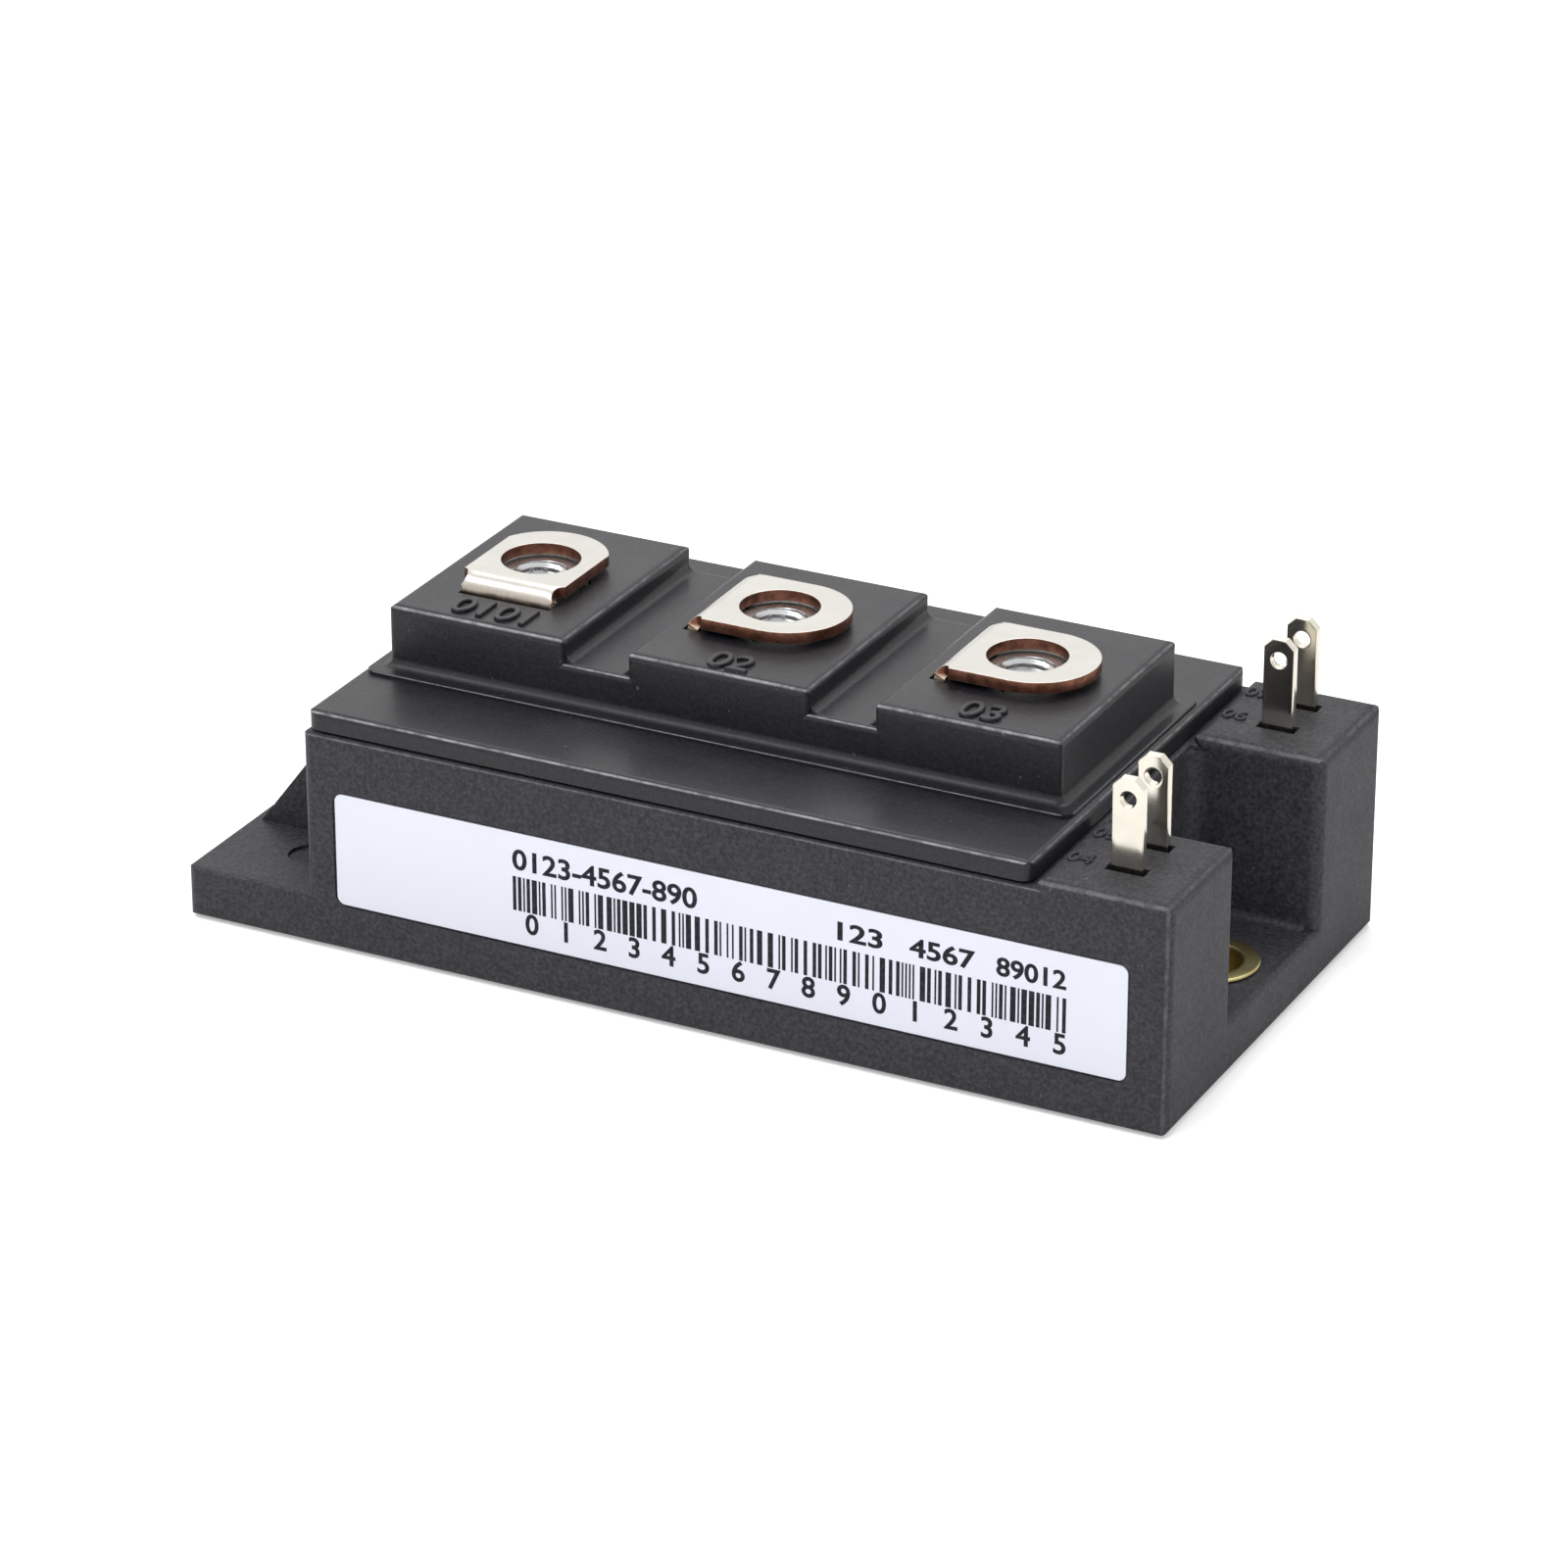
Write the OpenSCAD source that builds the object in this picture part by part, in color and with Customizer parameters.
// Half-bridge power transistor module. A moulded case stands on a copper base plate, under a
// stepped cover with three screw terminals. Four push-on signal tabs stand on two end towers.
// Origin: middle of the base plate's underside. +X to the towers, +Y to the back, +Z up.

/* [Case] */
// Length over both mounting ends
case_l = 92; // [91:0.5:100]
// Width of the case
case_w = 45; // [44:0.5:52]
// Length of the main box between the mounting ends
box_l = 68; // [67:0.5:70]
// Height of the box walls, where the cover sits
box_h = 20; // [19:0.5:23]
// Height of the signal towers
tower_h = 20.9; // [20.5:0.1:24]
// Height of the floors under the mounting screws
floor_h = 4.9; // [4.4:0.1:7]
// Wall thickness of the case and the cover
wall = 2; // [1.6:0.1:2.3]
// Width of a signal tower
tower_w = 13.3; // [12.4:0.1:14.2]
// Height of the case's lower edge above the seat
seat_gap = 0.3; // [0.1:0.1:0.6]
// Rounding of the towers and the upright corners
edge_r = 1.1; // [0.6:0.1:1.4]
// Rounding of the floors' upper edges and the box's lower edges
soft_r = 0.5; // [0.2:0.1:0.8]
// Radius of the fillets inside the notch between the towers
notch_r = 1.9; // [1:0.1:2.4]
// Radius of the fillets round the floor of that notch
floor_r = 0.8; // [0.5:0.1:1.2]
// Thickness of the sloping ribs at the left end
rib_t = 2.3; // [1.5:0.1:3]
// Ledge left free outside the ribs
rib_foot = 1; // [0.5:0.1:2]

/* [Base plate] */
// Width of the case's skirt along the base plate
skirt = 2; // [1.6:0.1:2.4]
// Copper left between a mounting hole and the end of the base plate
bridge = 1.15; // [0.65:0.05:1.6]
// Thickness of the base plate
plate_t = 3; // [2.5:0.1:3.5]
// Corner radius of the base plate
plate_r = 2; // [1:0.5:4]

/* [Mounting eyelets] */
// Bore for the mounting screw
eyelet_bore = 5.6; // [5.2:0.1:6]
// Wall of the eyelet's shank
eyelet_wall = 0.5; // [0.4:0.1:0.7]
// Width of the eyelet's flange outside the shank
flange_w = 1.1; // [0.8:0.1:1.4]
// Thickness of the eyelet's flange
flange_t = 0.4; // [0.3:0.1:0.8]
// Height and width of the lip that clinches the eyelet under the plate
lip = 0.4; // [0.3:0.1:0.6]

/* [Cover] */
// How far the cover's ends and sides stand back from the box walls
cover_inset = 0.4; // [0.2:0.1:0.6]
// Height of the cover's flat shoulder above the seam
shoulder_h = 2; // [1.8:0.1:3]
// Height of the low step round the terminal blocks
step_h = 0.35; // [0.2:0.05:0.6]
// Width of the low step round the terminal blocks
step_w = 1.7; // [1.2:0.1:1.8]
// Height of the terminal blocks' top above the seat
block_top = 28; // [27:0.5:30]
// Height of the valleys between the blocks above the seat
valley_top = 25.8; // [25:0.1:26.4]
// Length of one terminal block along the module
block_w = 16.9; // [16:0.1:17.5]
// Depth of a terminal block across the module
block_d = 23.3; // [22:0.1:26]
// Distance between terminals
pitch = 23; // [22:0.5:23]
// Rounding of the blocks' upper edges
block_r = 0.7; // [0.3:0.1:1]
// Fillet at the foot of the blocks and in the valleys
foot_r = 0.8; // [0.4:0.1:1.2]
// Depth of the rim that drops into the case
rim_h = 2.5; // [2:0.5:4]
// Thickness of that rim
rim_t = 1.2; // [0.8:0.1:1.6]

/* [Screw terminals] */
// Thickness of the terminal strip
strip_t = 1; // [0.8:0.1:1.2]
// Height of the tabs' underside above the blocks
tab_lift = 0.5; // [0.3:0.1:0.8]
// Width of the tab folded from the front, terminal 1
tab_w_front = 9.8; // [9.6:0.1:10.9]
// Width of the tabs folded from the side, terminals 2 and 3
tab_w_side = 10.9; // [9.6:0.1:10.9]
// Radius of a tab's round end
tab_r = 5.45; // [5.45:0.05:6]
// How far the round end is centred beyond the screw hole
tab_reach = 0.8; // [0.4:0.1:1.2]
// Diameter of the screw hole in a tab
tab_hole = 6.9; // [5.4:0.1:7.2]
// Distance from the screw hole to the leg's outer face
leg_back = 6.3; // [6.2:0.1:6.4]
// Relief on each side between tab width and leg width
leg_relief = 0.6; // [0.4:0.1:1]
// Inner radius of the strip's bends
bend_r = 0.6; // [0.5:0.1:0.8]
// Sideways offset of the leg's stress-relief bend
leg_jog = 2.4; // [2.4:0.1:2.8]
// Length of the soldered foot
leg_foot = 3; // [2.4:0.1:3.2]
// Width of the soldered foot
foot_w = 4; // [3:0.1:4.2]

/* [Terminal nuts] */
// Width across flats of the nut
nut_af = 8; // [7.6:0.1:8.1]
// Height of the nut
nut_h = 4; // [3.2:0.1:4.2]
// Core diameter of the nut's thread
nut_core = 4.2; // [4:0.1:4.4]
// How far the nut stands above its block
nut_proud = 0.3; // [0.1:0.1:0.3]
// Diameter of the well under the nut for the screw's end
well_d = 6; // [5.4:0.1:6.6]
// Depth of the well below the nut
well_h = 5.6; // [4:0.1:5.8]

/* [Signal tabs] */
// Width of a signal tab
sig_w = 2.8; // [2.4:0.1:3.2]
// Thickness of a signal tab
sig_t = 0.8; // [0.5:0.1:0.9]
// Height of the signal tabs' top above the seat
sig_top = 29; // [27:0.5:29.5]
// Distance between the two tabs on a tower
sig_pitch = 5; // [4.6:0.1:5]
// How far the front pair stands behind its tower's middle
sig_front = 1.05; // [0.8:0.05:1.1]
// How far the back pair stands behind its tower's middle
sig_back = 0.45; // [0:0.05:0.8]
// Diameter of the hole near a signal tab's top
sig_hole = 1.4; // [1:0.1:1.6]
// Corner cut at a signal tab's top
sig_cut = 0.8; // [0.4:0.1:1]
// Width of the lead inside the case
lead_w = 1.8; // [1.4:0.1:1.8]

/* [Label] */
// Bare case left of the label
label_left = 3.15; // [2:0.05:10]
// Bare case right of the label
label_right = 3.55; // [2:0.05:10]
// Height of the label
label_h = 10.3; // [6:0.1:11]
// Thickness of the label
label_t = 0.13; // [0.08:0.01:0.14]
// Height of the label's middle above the seat
label_z = 9.75; // [8:0.05:11]

/* [Substrates and chips] */
// Thickness of the copper foils
foil_t = 0.3; // [0.2:0.05:0.4]
// Thickness of the ceramic
ceramic_t = 0.64; // [0.38:0.02:1]
// Gap between the two ceramics
ceramic_gap = 2.6; // [2:0.1:3]
// Gap between a ceramic and the case walls
ceramic_side = 0.7; // [0.5:0.1:1]
// Side length of a transistor chip
igbt_s = 9; // [8:0.1:9]
// Side length of a diode chip
diode_s = 6.5; // [5:0.1:6.5]
// Thickness of the chips
chip_t = 0.25; // [0.15:0.01:0.4]
// Diameter of the power bond wires
wire_d = 0.4; // [0.3:0.05:0.5]
// Diameter of the gate bond wires
fine_d = 0.25; // [0.2:0.05:0.3]
// Power bond wires on each chip
wire_n = 4; // [3:1:5]
// Thickness of the copper strap between the substrates
strap_t = 0.8; // [0.6:0.1:1]
// Width of that strap
strap_w = 4; // [3:0.5:4]
// Height of the silicone gel's surface above the seat
gel_top = 12; // [10.5:0.5:12.5]

/* [Hidden] */
$fn = 64;

// Clearances
press = 0.05;           // eyelet shank in its holes, for each side
fit = 0.15;             // parts that drop into the case or the cover, for each side
slot_back = 0.4;        // free space behind a leg in its slot
slot_front = 0.5;       // free space in front of a signal tab in its slot
label_gap = 0.2;        // sunk field round the label
over = 1;               // how far a cut runs past the face it opens

// Case
end_l = (case_l - box_l) / 2;
end_x = (box_l + end_l) / 2;    // middle of a mounting end
notch_w = case_w - 2 * tower_w;
tower_y = (case_w - tower_w) / 2;
cavity_l = box_l - 2 * wall;
cavity_w = case_w - 2 * wall;
plate_w = case_w - 2 * skirt;
shank_d = eyelet_bore + 2 * eyelet_wall;
flange_d = shank_d + 2 * flange_w;
plate_l = 2 * (end_x + shank_d / 2 + press + bridge);
label_l = case_l / 2 + box_l / 2 - label_left - label_right;
label_x = (case_l / 2 - label_right - box_l / 2 + label_left) / 2;
seam_h = 0.25;          // height of the shadow line under the cover
mark_d = 4;             // ejector marks on the left ledge
mark_h = 0.3;
mark_x = 8.5;
mark_y = 6.8;
spot = 0.2;             // bare floor round the eyelet's flange

// Cover
cover_l = box_l - 2 * cover_inset;
cover_w = case_w - 2 * cover_inset;
cover_r = 0.6;
run_l = 2 * pitch + block_w;
side_r = 0.5;           // upright corners of the blocks
boss_wall = 1.1;        // wall round the nut
boss_d = (nut_af + 2 * fit) / cos(30) + 2 * boss_wall;

// Terminals
tab_z = block_top + tab_lift;
nut_z = block_top + nut_proud - nut_h;
well_z = nut_z - well_h;
bend_m = bend_r + strip_t / 2;
leg_mid = leg_back - strip_t / 2;
jog_top = 11.2;         // straight length above the stress-relief bend

// Substrate stack
back_z = plate_t;
ceramic_z = back_z + foil_t;
track_z = ceramic_z + ceramic_t;
chip_z = track_z + foil_t;
bond_z = chip_z + chip_t + 0.13;
ceramic_l = (cavity_l - 2 * ceramic_side - ceramic_gap) / 2;
ceramic_w = cavity_w - 2 * ceramic_side;
foil_edge = 0.5;        // bare ceramic round the foils
in_x = ceramic_gap / 2 + foil_edge;
out_x = ceramic_gap / 2 + ceramic_l - foil_edge;
out_y = ceramic_w / 2 - foil_edge;

// Track edges, measured outwards from the middle of the module
bond_l = 1.2;
rail_w = 0.8;           // signal rails along the back edge
rail_gap = 0.45;
rail_1 = out_y - rail_w;
rail_2 = rail_1 - rail_gap - rail_w;
pad_gap = 0.4;
chip_edge = 0.3;        // bare track outside the transistors
chip_gap = 0.65;        // bare track between a transistor and its diode
gate_x = [out_x - 2.9, out_x - 2.3];
igbt_x = gate_x[0] - 0.5 - chip_edge - igbt_s / 2;
diode_x = igbt_x - igbt_s / 2 - chip_gap - diode_s / 2;
collector_x = [diode_x - diode_s / 2 - 0.75, igbt_x + igbt_s / 2 + chip_edge];
emitter_x = collector_x[0] - 0.6;
land_x = emitter_x - bond_l / 2 - 0.1;  // where the power wires meet the emitter track
left_row = rail_1 - rail_gap - 0.55 - igbt_s / 2;
rows_left = [left_row, left_row - igbt_s - 1.4];
right_row = rail_2 - rail_gap - chip_edge - igbt_s / 2;
rows_right = [right_row, -right_row];
wire_pitch = 1.6;
bond_w = 1.25;          // bond foot's width in wire diameters
loop_turn = 120;        // arc of a wire loop

// Signal leads
run_z = 13.4;           // underside of the lead's level run
run_h = 2;
lead_x = out_x - lead_w / 2;
lead_foot = 2.2;
lead_r = 0.4;
sig_y = [for (mid = [-tower_y + sig_front, tower_y + sig_back], s = [-1, 1]) mid + s * sig_pitch / 2];

// Strap and gel
strap_y = -out_y + 0.4 + strap_w / 2;
strap_rise = 2.8;
strap_x = [in_x + lead_foot + 0.1, -collector_x[0] - 5.7];
gel_roof = 9;           // underside of the gel above the bond wires
gel_gap = 0.2;

// A rectangle with its own radius for the upper and the lower corners, on the Y axis
module round_rect(size, r_top, r_low) {
    difference() {
        translate([-size.x / 2, 0]) square(size);
        for (sx = [-1, 1]) {
            translate([sx * size.x / 2, size.y]) corner_cut(r_top, [-sx, -1]);
            if (r_low > 0) translate([sx * size.x / 2, 0]) corner_cut(r_low, [-sx, 1]);
        }
    }
}

// What a radius r takes off a corner; dir points into the material
module corner_cut(r, dir) {
    difference() {
        translate([min(0, dir.x * r) - (dir.x > 0 ? over : 0), min(0, dir.y * r) - (dir.y > 0 ? over : 0)])
            square(r + over);
        translate(dir * r) circle(r);
    }
}

// A block centred in X and Y on z = 0, rounded upright, along its top and along its foot
module block(size, r_side, r_top, r_low = 0) {
    long = 2 * over;
    intersection() {
        translate([0, -size.y / 2, -over]) linear_extrude(size.z + long)
            round_rect([size.x, size.y], r_side, r_side);
        rotate([90, 0, 0]) linear_extrude(size.y + long, center = true)
            round_rect([size.x, size.z], r_top, r_low);
        rotate([90, 0, 90]) linear_extrude(size.x + long, center = true)
            round_rect([size.y, size.z], r_top, r_low);
    }
}

// The concave quarter that fills an inner corner
module cove(r) {
    difference() {
        square(r);
        translate([r, r]) circle(r);
    }
}

// A concave fillet round the foot of a block with upright corners of radius r_side
module foot_cove(size, r_side, r) {
    for (sx = [-1, 1])
        translate([sx * size.x / 2, 0, 0]) rotate([90, 0, 0])
            linear_extrude(size.y - 2 * r_side, center = true) mirror([sx < 0 ? 1 : 0, 0]) cove(r);
    for (sy = [-1, 1])
        translate([0, sy * size.y / 2, 0]) rotate([90, 0, 90])
            linear_extrude(size.x - 2 * r_side, center = true) mirror([sy < 0 ? 1 : 0, 0]) cove(r);
    for (sx = [-1, 1], sy = [-1, 1])
        translate([sx * (size.x / 2 - r_side), sy * (size.y / 2 - r_side), 0])
            rotate([0, 0, sx > 0 ? (sy > 0 ? 0 : -90) : (sy > 0 ? 90 : 180)])
                rotate_extrude(angle = 90) translate([r_side, 0]) cove(r);
}

// A bent strip that starts at the origin along +X, centred in width and thickness.
// Each move is a straight length and the turn after it, up positive.
module strip(moves, w, t, r, i = 0) {
    if (i < len(moves)) {
        length = moves[i][0];
        turn = moves[i][1];
        mid = r + t / 2;
        up = turn > 0 ? 1 : -1;
        if (length > 0) translate([0, -w / 2, -t / 2]) cube([length, w, t]);
        translate([length, 0, 0]) {
            if (turn != 0)
                translate([0, w / 2, up * mid]) rotate([90, 0, 0])
                    rotate([0, 0, up > 0 ? -90 : 90 + turn])
                        rotate_extrude(angle = abs(turn)) translate([r, 0]) square([t, w]);
            translate([sin(abs(turn)) * mid, 0, up * (1 - cos(turn)) * mid])
                rotate([0, -turn, 0]) strip(moves, w, t, r, i + 1);
        }
    }
}

// A bond wire in the XZ plane from x0 to x1, with a flat foot at each end.
// drop_1 is how far the surface under the second foot lies below the first.
module bond(x0, x1, y, d, drop_0 = 0, drop_1 = 0) {
    span = abs(x1 - x0);
    radius = span / (2 * sin(loop_turn / 2));
    foot_h = bond_z - chip_z - chip_t + d / 4;
    translate([(x0 + x1) / 2, y, bond_z - radius * cos(loop_turn / 2)])
        rotate([90, 0, 0]) rotate([0, 0, 90 - loop_turn / 2])
            rotate_extrude(angle = loop_turn) translate([radius, 0]) circle(d = d);
    for (end = [[x0, drop_0], [x1, drop_1]])
        translate([end[0] - bond_l / 2, y - bond_w * d / 2, chip_z + chip_t - end[1]])
            cube([bond_l, bond_w * d, foot_h + end[1]]);
}

// Case and base

module base_plate() {
    color("silver")
    difference() {
        translate([0, -plate_w / 2, 0]) linear_extrude(plate_t)
            round_rect([plate_l, plate_w], plate_r, plate_r);
        for (sx = [-1, 1]) translate([sx * end_x, 0, -over]) {
            cylinder(d = shank_d + 2 * press, h = plate_t + 2 * over);
            cylinder(d = shank_d + 2 * (lip + press), h = over + lip + 2 * press);
        }
    }
}

module case_solid() {
    // main box
    translate([0, 0, seat_gap]) block([box_l, case_w, box_h - seat_gap], edge_r, soft_r, soft_r);
    // floors of both ends
    translate([0, 0, seat_gap]) block([case_l, case_w, floor_h - seat_gap], edge_r, soft_r, soft_r);
}

module towers() {
    for (sy = [-1, 1]) {
        translate([box_l / 2 + end_l / 2, sy * tower_y, seat_gap])
            block([end_l, tower_w, tower_h - seat_gap], edge_r, edge_r, soft_r);
        // lower part, carried back into the main box so that their faces run flush
        translate([box_l / 2 + end_l / 2 - edge_r, sy * tower_y, seat_gap])
            block([end_l + 2 * edge_r, tower_w, box_h - seat_gap], edge_r, soft_r, soft_r);
        // fillets where the towers meet the end wall and the floor
        translate([box_l / 2, sy * notch_w / 2, floor_h - over])
            linear_extrude(box_h - soft_r - floor_h + over) mirror([0, sy > 0 ? 1 : 0]) cove(notch_r);
        translate([box_l / 2, sy * notch_w / 2, floor_h]) rotate([90, 0, 90])
            linear_extrude(end_l - edge_r) mirror([sy > 0 ? 1 : 0, 0]) cove(floor_r);
    }
    translate([box_l / 2, 0, floor_h]) rotate([90, 0, 0])
        linear_extrude(notch_w, center = true) cove(floor_r);
}

// Sloping ribs that brace the left end wall on the ledge
module ribs() {
    for (sy = [-1, 1])
        translate([0, sy * (notch_w + rib_t) / 2, 0]) rotate([90, 0, 0])
            linear_extrude(rib_t, center = true) polygon([
                [-box_l / 2 + over, floor_h - over], [-case_l / 2 + rib_foot, floor_h - over],
                [-case_l / 2 + rib_foot, floor_h], [-box_l / 2, box_h - soft_r],
                [-box_l / 2 + over, box_h - soft_r]
            ]);
}

module case_hollows() {
    // main cavity
    translate([-cavity_l / 2, -cavity_w / 2, seat_gap]) cube([cavity_l, cavity_w, box_h]);
    // seat of the base plate
    translate([0, -plate_w / 2 - fit, -over]) linear_extrude(plate_t + over)
        round_rect([plate_l + 2 * fit, plate_w + 2 * fit], plate_r, plate_r);
    // cores of the towers, open towards the plate
    for (sy = [-1, 1])
        translate([box_l / 2, sy * (notch_w / 2 + wall) - (sy < 0 ? tower_w - 2 * wall : 0), seat_gap])
            cube([end_l - wall, tower_w - 2 * wall, tower_h - wall - seat_gap]);
    for (y = sig_y) {
        // slot in the tower's roof, open towards the front
        translate([end_x - sig_w / 2 - fit - 0.2, y - sig_t / 2 - slot_front, tower_h - wall - over])
            cube([sig_w + 2 * fit + 0.4, sig_t + slot_front + fit, wall + 2 * over]);
        // slot through the end wall
        translate([cavity_l / 2 - over, y - sig_t / 2 - fit, run_z - fit])
            cube([wall + 2 * over, sig_t + 2 * fit, run_h + 2 * fit]);
    }
    // eyelet holes, with room for the flange above the floor
    for (sx = [-1, 1]) translate([sx * end_x, 0, 0]) {
        cylinder(d = shank_d + 2 * press, h = floor_h + over);
        translate([0, 0, floor_h]) cylinder(d = flange_d + 2 * spot, h = flange_t + spot);
    }
    // ejector marks
    for (sy = [-1, 1])
        translate([-case_l / 2 + mark_x, sy * (case_w / 2 - mark_y), floor_h - mark_h]) cylinder(d = mark_d, h = over);
    // sunk field for the label
    translate([label_x, -case_w / 2 + label_t + 0.02, label_z - label_h / 2 - label_gap])
        rotate([90, 0, 0]) linear_extrude(over)
            round_rect([label_l + 2 * label_gap, label_h + 2 * label_gap], 1 + label_gap, 1 + label_gap);
}

module case_frame() {
    color("dimgray")
    difference() {
        union() {
            case_solid();
            towers();
            ribs();
        }
        case_hollows();
    }
}

module eyelet(x) {
    color("goldenrod")
    translate([x, 0, 0]) rotate_extrude() {
        bore = eyelet_bore / 2;
        polygon([
            [bore, press], [bore + eyelet_wall + lip, press], [bore + eyelet_wall + lip, lip],
            [bore + eyelet_wall, lip + press], [bore + eyelet_wall, floor_h], [flange_d / 2, floor_h],
            [flange_d / 2, floor_h + flange_t / 2], [flange_d / 2 - flange_t / 2, floor_h + flange_t],
            [bore + flange_t / 2, floor_h + flange_t], [bore, floor_h + flange_t / 2]
        ]);
    }
}

module eyelet_left() eyelet(-end_x);
module eyelet_right() eyelet(end_x);

// Cover

module cover_solid() {
    // flat shoulder, standing on a narrower neck that leaves the seam line
    translate([0, 0, box_h + seam_h]) block([cover_l, cover_w, shoulder_h - seam_h], edge_r, cover_r);
    translate([0, 0, box_h]) block([cover_l - 2 * cover_r, cover_w - 2 * cover_r, shoulder_h / 2], edge_r, 0.1);
    // low step round the blocks
    translate([0, 0, box_h + wall / 2])
        block([run_l + 2 * step_w - 0.2, block_d + 2 * step_w, shoulder_h + step_h - wall / 2], edge_r, 0.15);
    // common body up to the valleys
    translate([0, 0, box_h + wall / 2])
        block([run_l, block_d, valley_top - box_h - wall / 2], side_r, soft_r);
    translate([0, 0, box_h + shoulder_h + step_h]) foot_cove([run_l, block_d], side_r, foot_r);
    for (i = [-1:1]) translate([i * pitch, 0, 0]) {
        translate([0, 0, box_h + wall / 2])
            block([block_w, block_d, block_top - box_h - wall / 2], side_r, block_r);
        // fillets into the valleys
        for (sx = [-1, 1]) if (abs(i + sx) < 2)
            translate([sx * block_w / 2, 0, valley_top]) rotate([90, 0, 0])
                linear_extrude(block_d - 2 * soft_r, center = true) mirror([sx < 0 ? 1 : 0, 0]) cove(foot_r);
    }
    // rim that drops into the case
    difference() {
        translate([-cavity_l / 2 + fit, -cavity_w / 2 + fit, box_h - rim_h])
            cube([cavity_l - 2 * fit, cavity_w - 2 * fit, rim_h + wall / 2]);
        translate([-cavity_l / 2 + fit + rim_t, -cavity_w / 2 + fit + rim_t, box_h - rim_h - over])
            cube([cavity_l - 2 * (fit + rim_t), cavity_w - 2 * (fit + rim_t), rim_h + over]);
    }
}

// Hollow under the blocks
module cover_hollow() {
    low = box_h - over;
    translate([-run_l / 2 + wall, -block_d / 2 + wall, low])
        cube([run_l - 2 * wall, block_d - 2 * wall, valley_top - wall - low]);
    for (i = [-1:1])
        translate([i * pitch - block_w / 2 + wall, -block_d / 2 + wall, low])
            cube([block_w - 2 * wall, block_d - 2 * wall, block_top - wall - low]);
}

// Places something on a terminal's own axes: leg towards -X, turned to the front for terminal 1
module at_terminal(i) {
    translate([(i - 1) * pitch, 0, 0]) rotate([0, 0, i == 0 ? 90 : 0]) children();
}

module cover() {
    color("darkslategray")
    difference() {
        union() {
            difference() {
                cover_solid();
                cover_hollow();
            }
            // bosses that hold the nuts
            for (i = [0:2]) at_terminal(i)
                translate([0, 0, well_z - boss_wall]) cylinder(d = boss_d, h = block_top - wall / 2 - well_z + boss_wall);
        }
        for (i = [0:2]) at_terminal(i) {
            translate([0, 0, nut_z]) nut_hex(nut_af + 2 * fit, nut_h + over);
            translate([0, 0, well_z]) cylinder(d = well_d, h = nut_z - well_z + over);
            // slot for the leg
            translate([-leg_back - slot_back, -leg_width(i) / 2 - fit, box_h - rim_h - over])
                cube([strip_t + slot_back + 0.1, leg_width(i) + 2 * fit, block_top - box_h + rim_h + 2 * over]);
        }
    }
}

// Screw terminals

function tab_width(i) = i == 0 ? tab_w_front : tab_w_side;
function leg_width(i) = tab_width(i) - 2 * leg_relief;

// Terminal 1 jogs outwards, the others in under their nut
function jog_side(i) = i == 0 ? 1 : -1;

// The leg from the tab's fold down to its soldered foot, narrow at its lower end
module leg(i) {
    low = tab_z - chip_z - jog_top - 4 * bend_m;
    w = leg_width(i);
    difference() {
        translate([-leg_mid + bend_m, 0, tab_z + strip_t / 2]) rotate([0, 0, 180])
            strip([[0, -90], [jog_top, jog_side(i) * 90], [leg_jog - 2 * bend_m, -jog_side(i) * 90],
                   [low, 90], [leg_foot, 0]], w, strip_t, bend_r);
        translate([-leg_mid - leg_jog - leg_foot - over, foot_w - w / 2, chip_z - over])
            cube([2 * leg_jog + 2 * leg_foot, w - foot_w + over, gel_top + over - chip_z + over]);
    }
}

module terminal(i) {
    w = tab_width(i);
    color("silver")
    at_terminal(i) {
        translate([0, 0, tab_z]) linear_extrude(strip_t) difference() {
            union() {
                translate([-leg_mid + bend_m, -w / 2]) square([leg_mid - bend_m + tab_reach, w]);
                intersection() {
                    translate([tab_reach, 0]) circle(tab_r);
                    translate([0, -w / 2]) square([2 * tab_r, w]);
                }
            }
            circle(d = tab_hole);
        }
        leg(i);
    }
}

module terminal_1() terminal(0);
module terminal_2() terminal(1);
module terminal_3() terminal(2);

module nut_hex(af, h) {
    rotate([0, 0, 30]) cylinder(d = af / cos(30), h = h, $fn = 6);
}

module nut(i) {
    chamfer = nut_af / cos(30) / 2 - nut_af / 2;
    color("gainsboro")
    at_terminal(i) translate([0, 0, nut_z]) difference() {
        intersection() {
            nut_hex(nut_af, nut_h);
            rotate_extrude() polygon([
                [0, 0], [nut_af / 2, 0], [nut_af / 2 + chamfer, chamfer / 2],
                [nut_af / 2 + chamfer, nut_h - chamfer / 2], [nut_af / 2, nut_h], [0, nut_h]
            ]);
        }
        translate([0, 0, -over]) cylinder(d = nut_core, h = nut_h + 2 * over);
    }
}

module nut_1() nut(0);
module nut_2() nut(1);
module nut_3() nut(2);

// Signal tabs

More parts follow.
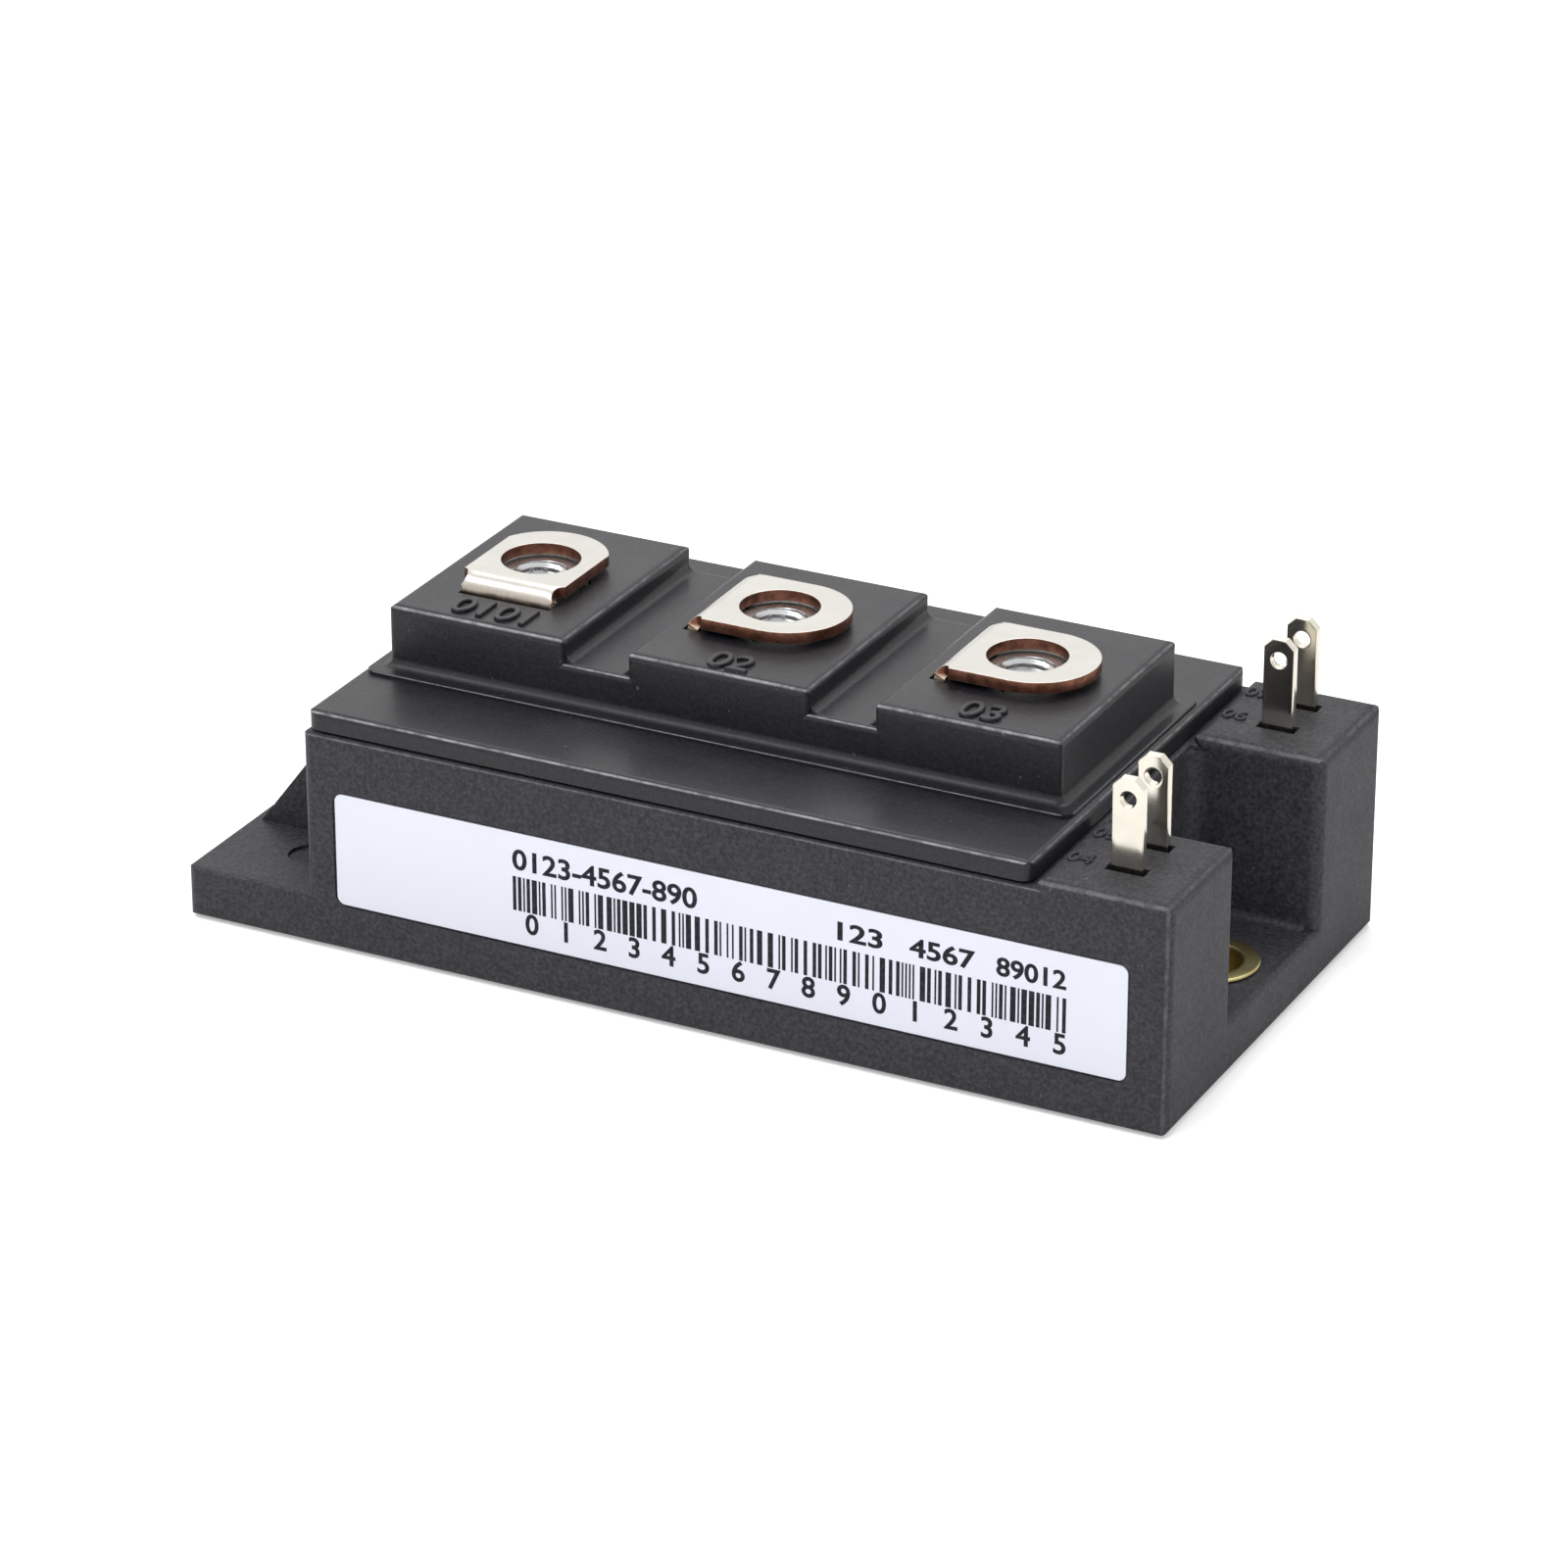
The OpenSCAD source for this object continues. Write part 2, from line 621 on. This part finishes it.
module signal_tab(y) {
    inward = y < 0 ? 1 : -1;
    foot_mid = lead_r + sig_t / 2;
    color("silver")
    translate([0, y, 0]) {
        // blade, level run and lead, stamped flat
        rotate([90, 0, 0]) linear_extrude(sig_t, center = true) difference() {
            union() {
                polygon([
                    [end_x - sig_w / 2, run_z], [end_x + sig_w / 2, run_z],
                    [end_x + sig_w / 2, sig_top - sig_cut], [end_x + sig_w / 2 - sig_cut, sig_top],
                    [end_x - sig_w / 2 + sig_cut, sig_top], [end_x - sig_w / 2, sig_top - sig_cut]
                ]);
                translate([lead_x - lead_w / 2, run_z]) square([end_x - lead_x, run_h]);
                translate([lead_x - lead_w / 2, chip_z + lead_r + sig_t])
                    square([lead_w, run_z - chip_z - lead_r - sig_t + run_h]);
            }
            translate([end_x, sig_top - 1.9]) circle(d = sig_hole);
        }
        // foot, bent towards the middle and soldered to its pad
        translate([lead_x, 0, chip_z + lead_r + sig_t]) rotate([0, 0, inward * 90]) rotate([0, 90, 0])
            strip([[0, 90], [lead_foot, 0]], lead_w, sig_t, lead_r);
    }
}

module signal_tab_4() signal_tab(sig_y[0]);
module signal_tab_5() signal_tab(sig_y[1]);
module signal_tab_6() signal_tab(sig_y[2]);
module signal_tab_7() signal_tab(sig_y[3]);

// Substrates

// Mirrors a layout onto the left (-1) or leaves it on the right (1)
module on_side(side) {
    mirror([side < 0 ? 1 : 0, 0, 0]) children();
}

// A foil field between two corners, on top of the ceramic
module field(x0, x1, y0, y1) {
    translate([x0, y0, track_z]) cube([x1 - x0, y1 - y0, foil_t]);
}

module back_foil(side) {
    color("peru") on_side(side)
        translate([in_x, -out_y, back_z]) cube([out_x - in_x, 2 * out_y, foil_t]);
}

module ceramic(side) {
    color("white") on_side(side)
        translate([in_x - foil_edge, -ceramic_w / 2, ceramic_z]) cube([ceramic_l, ceramic_w, ceramic_t]);
}

module back_foil_left() back_foil(-1);
module back_foil_right() back_foil(1);
module ceramic_left() ceramic(-1);
module ceramic_right() ceramic(1);

module tracks_left() {
    color("peru") on_side(-1) {
        field(in_x, emitter_x, -out_y, rail_1 - rail_gap);
        field(collector_x[0], collector_x[1], -out_y, rail_1 - rail_gap);
        // gate rail and its branch beside the chips
        field(in_x, out_x, rail_1, out_y);
        field(gate_x[0], out_x, rows_left[1] - igbt_s / 2 + rail_w, out_y);
    }
}

module tracks_right() {
    pad_x = lead_x - lead_w / 2;
    color("peru") {
        field(in_x, emitter_x, -out_y, rail_2 - rail_gap);
        field(collector_x[0], collector_x[1], -out_y, rail_2 - rail_gap);
        // gate of the upper switch, with the pad of tab 4
        field(gate_x[0], gate_x[1], -out_y, right_row - igbt_s / 2 + 2 * rail_w);
        field(gate_x[0], out_x, -out_y, sig_y[0] + lead_foot);
        // emitter sense pad of tab 5
        field(pad_x, out_x, sig_y[1] - 1, sig_y[1] + lead_foot + pad_gap);
        // emitter sense rail of the lower switch, with the pad of tab 6
        field(in_x, gate_x[1], rail_2, rail_2 + rail_w);
        field(gate_x[0], gate_x[1], sig_y[2] - lead_foot - pad_gap, rail_2 + rail_w);
        field(gate_x[0], out_x, sig_y[2] - lead_foot - pad_gap, sig_y[2] + 1);
        // gate rail of the lower switch, with the pad of tab 7
        field(in_x, out_x, rail_1, out_y);
        field(pad_x, out_x, sig_y[3] - lead_foot - pad_gap, out_y);
    }
}

module chip(side, x, y, s) {
    on_side(side) translate([x - s / 2, y - s / 2, chip_z]) cube([s, s, chip_t]);
}

module igbt_1() color("slategray") chip(-1, igbt_x, rows_left[0], igbt_s);
module igbt_2() color("slategray") chip(-1, igbt_x, rows_left[1], igbt_s);
module igbt_3() color("slategray") chip(1, igbt_x, rows_right[0], igbt_s);
module igbt_4() color("slategray") chip(1, igbt_x, rows_right[1], igbt_s);
module diode_1() color("lightslategray") chip(-1, diode_x, rows_left[0], diode_s);
module diode_2() color("lightslategray") chip(-1, diode_x, rows_left[1], diode_s);
module diode_3() color("lightslategray") chip(1, diode_x, rows_right[0], diode_s);
module diode_4() color("lightslategray") chip(1, diode_x, rows_right[1], diode_s);

// Emitter wires: transistor to diode to emitter track, side by side
module power_wires(side, rows) {
    color("gainsboro") on_side(side)
    for (row = rows, k = [0:wire_n - 1]) {
        y = row + (k - (wire_n - 1) / 2) * wire_pitch * 4 / wire_n;
        bond(igbt_x, diode_x, y, wire_d);
        bond(diode_x, land_x, y, wire_d, 0, chip_t);
    }
}

module power_wires_left() power_wires(-1, rows_left);
module power_wires_right() power_wires(1, rows_right);

// Gate wires: edge of a transistor to the gate track
module gate_wires(side, rows) {
    edge = igbt_x + igbt_s / 2 - bond_l / 2 - 0.1;
    for (row = rows)
        bond(edge, (gate_x[0] + gate_x[1]) / 2 + 0.35, row + (row > 0 ? -1 : 1) * (igbt_s / 2 - 0.8), fine_d, 0, chip_t);
}

module gate_wires_left() color("gainsboro") on_side(-1) gate_wires(-1, rows_left);
module gate_wires_right() color("gainsboro") gate_wires(1, rows_right);

// Wires that carry the lower switch's signals over the gap between the ceramics
module link_wires() {
    reach = in_x + bond_l / 2 + 0.1;
    color("gainsboro") {
        bond(-reach, reach, rail_1 + rail_w / 2, fine_d, chip_t, chip_t);
        bond(-reach, reach, rail_2 + rail_w / 2, fine_d, chip_t, chip_t);
    }
}

// Copper strap from the upper emitter to the lower collector
module link_strap() {
    mid = lead_r + strap_t / 2;
    across = strap_x[0] - strap_x[1] - 2 * lead_foot - 4 * mid;
    color("peru")
    translate([strap_x[0], strap_y, chip_z + strap_t / 2]) rotate([0, 0, 180])
        strip([[lead_foot, 90], [strap_rise - 2 * mid + strap_t, -90], [across, -90],
               [strap_rise - 2 * mid + strap_t, 90], [lead_foot, 0]], strap_w, strap_t, lead_r);
}

// Silicone gel over the chips, hollow where the substrates and the wires stand
module gel() {
    color("lightcyan")
    difference() {
        translate([-cavity_l / 2, -cavity_w / 2, plate_t]) cube([cavity_l, cavity_w, gel_top - plate_t]);
        translate([-cavity_l / 2 + ceramic_side - gel_gap, -ceramic_w / 2 - gel_gap, plate_t - over])
            cube([cavity_l - 2 * (ceramic_side - gel_gap), ceramic_w + 2 * gel_gap, gel_roof - plate_t + over]);
        for (i = [0:2]) at_terminal(i)
            translate([-leg_mid - jog_side(i) * leg_jog - strip_t / 2 - gel_gap, -leg_width(i) / 2 - gel_gap, gel_roof - over])
                cube([strip_t + 2 * gel_gap, leg_width(i) + 2 * gel_gap, gel_top - gel_roof + 2 * over]);
        for (y = sig_y)
            translate([lead_x - lead_w / 2 - gel_gap, y - sig_t / 2 - gel_gap, gel_roof - over])
                cube([lead_w + 2 * gel_gap, sig_t + 2 * gel_gap, gel_top - gel_roof + 2 * over]);
    }
}

module label() {
    color("white")
    translate([label_x, -case_w / 2 + label_t + 0.02, label_z - label_h / 2])
        rotate([90, 0, 0]) linear_extrude(label_t) round_rect([label_l, label_h], 1, 1);
}

base_plate();
case_frame();
cover();
eyelet_left();
eyelet_right();
terminal_1();
terminal_2();
terminal_3();
nut_1();
nut_2();
nut_3();
signal_tab_4();
signal_tab_5();
signal_tab_6();
signal_tab_7();
back_foil_left();
back_foil_right();
ceramic_left();
ceramic_right();
tracks_left();
tracks_right();
igbt_1();
igbt_2();
igbt_3();
igbt_4();
diode_1();
diode_2();
diode_3();
diode_4();
link_strap();
power_wires_left();
power_wires_right();
gate_wires_left();
gate_wires_right();
link_wires();
gel();
label();
